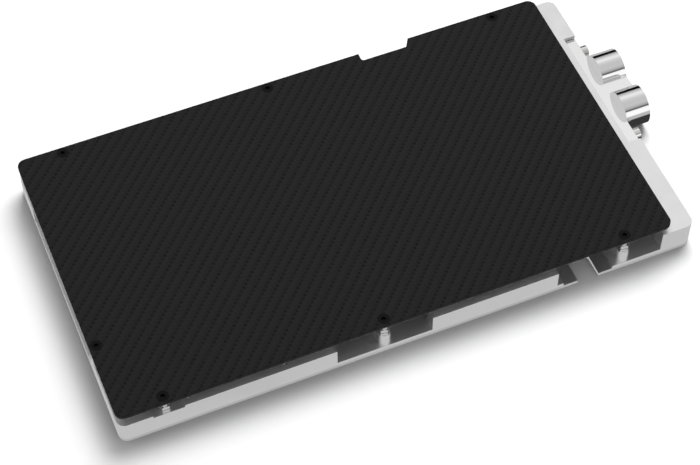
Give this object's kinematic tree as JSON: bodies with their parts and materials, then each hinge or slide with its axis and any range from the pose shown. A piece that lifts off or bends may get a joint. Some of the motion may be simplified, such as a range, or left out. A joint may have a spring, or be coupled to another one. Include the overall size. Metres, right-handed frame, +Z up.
{
  "type": "liquid cooling cold plate",
  "caption": "Flat liquid cooling plate for a full-length expansion card, with a carbon plate on hexagon standoffs and threaded ports on one short end.",
  "frame": {"origin": "on the table under the middle of the whole assembly, ports included", "axes": "+X along the plate towards the ports, +Y away from the near long side with the two openings, +Z up through the carbon plate"},
  "size_m": [0.2794, 0.144, 0.02],
  "materials": {
    "nickel_plated_copper": "milled and nickel plated, semi bright",
    "nickel_plated_brass": "turned and nickel plated, bright",
    "stainless_sheet": "fine ground sheet",
    "stainless_screw": "bright",
    "carbon_laminate": "satin twill weave",
    "black_steel": "black oxide",
    "rubber": "plain",
    "acetal": "plain"
  },
  "bodies": {
    "root": {"cold_plate": "nickel_plated_copper", "bottom_cover": "stainless_sheet", "jet_plate": "stainless_sheet", "flow_insert": "acetal", "cover_gasket": "rubber", "port_terminal": "nickel_plated_brass", "port_seal_near": "rubber", "port_seal_far": "rubber", "terminal_screw_near": "stainless_screw", "terminal_screw_far": "stainless_screw", "carbon_backplate": "carbon_laminate", "cover_screws": "stainless_screw", "standoff_near_left": "nickel_plated_brass", "standoff_near_middle": "nickel_plated_brass", "standoff_near_right": "nickel_plated_brass", "standoff_far_left": "nickel_plated_brass", "standoff_far_middle": "nickel_plated_brass", "standoff_far_right": "nickel_plated_brass", "standoff_side": "nickel_plated_brass", "backplate_screw_near_left": "black_steel", "backplate_screw_near_middle": "black_steel", "backplate_screw_near_right": "black_steel", "backplate_screw_far_left": "black_steel", "backplate_screw_far_middle": "black_steel", "backplate_screw_far_right": "black_steel", "backplate_screw_side": "black_steel"}
  },
  "joints": []
}
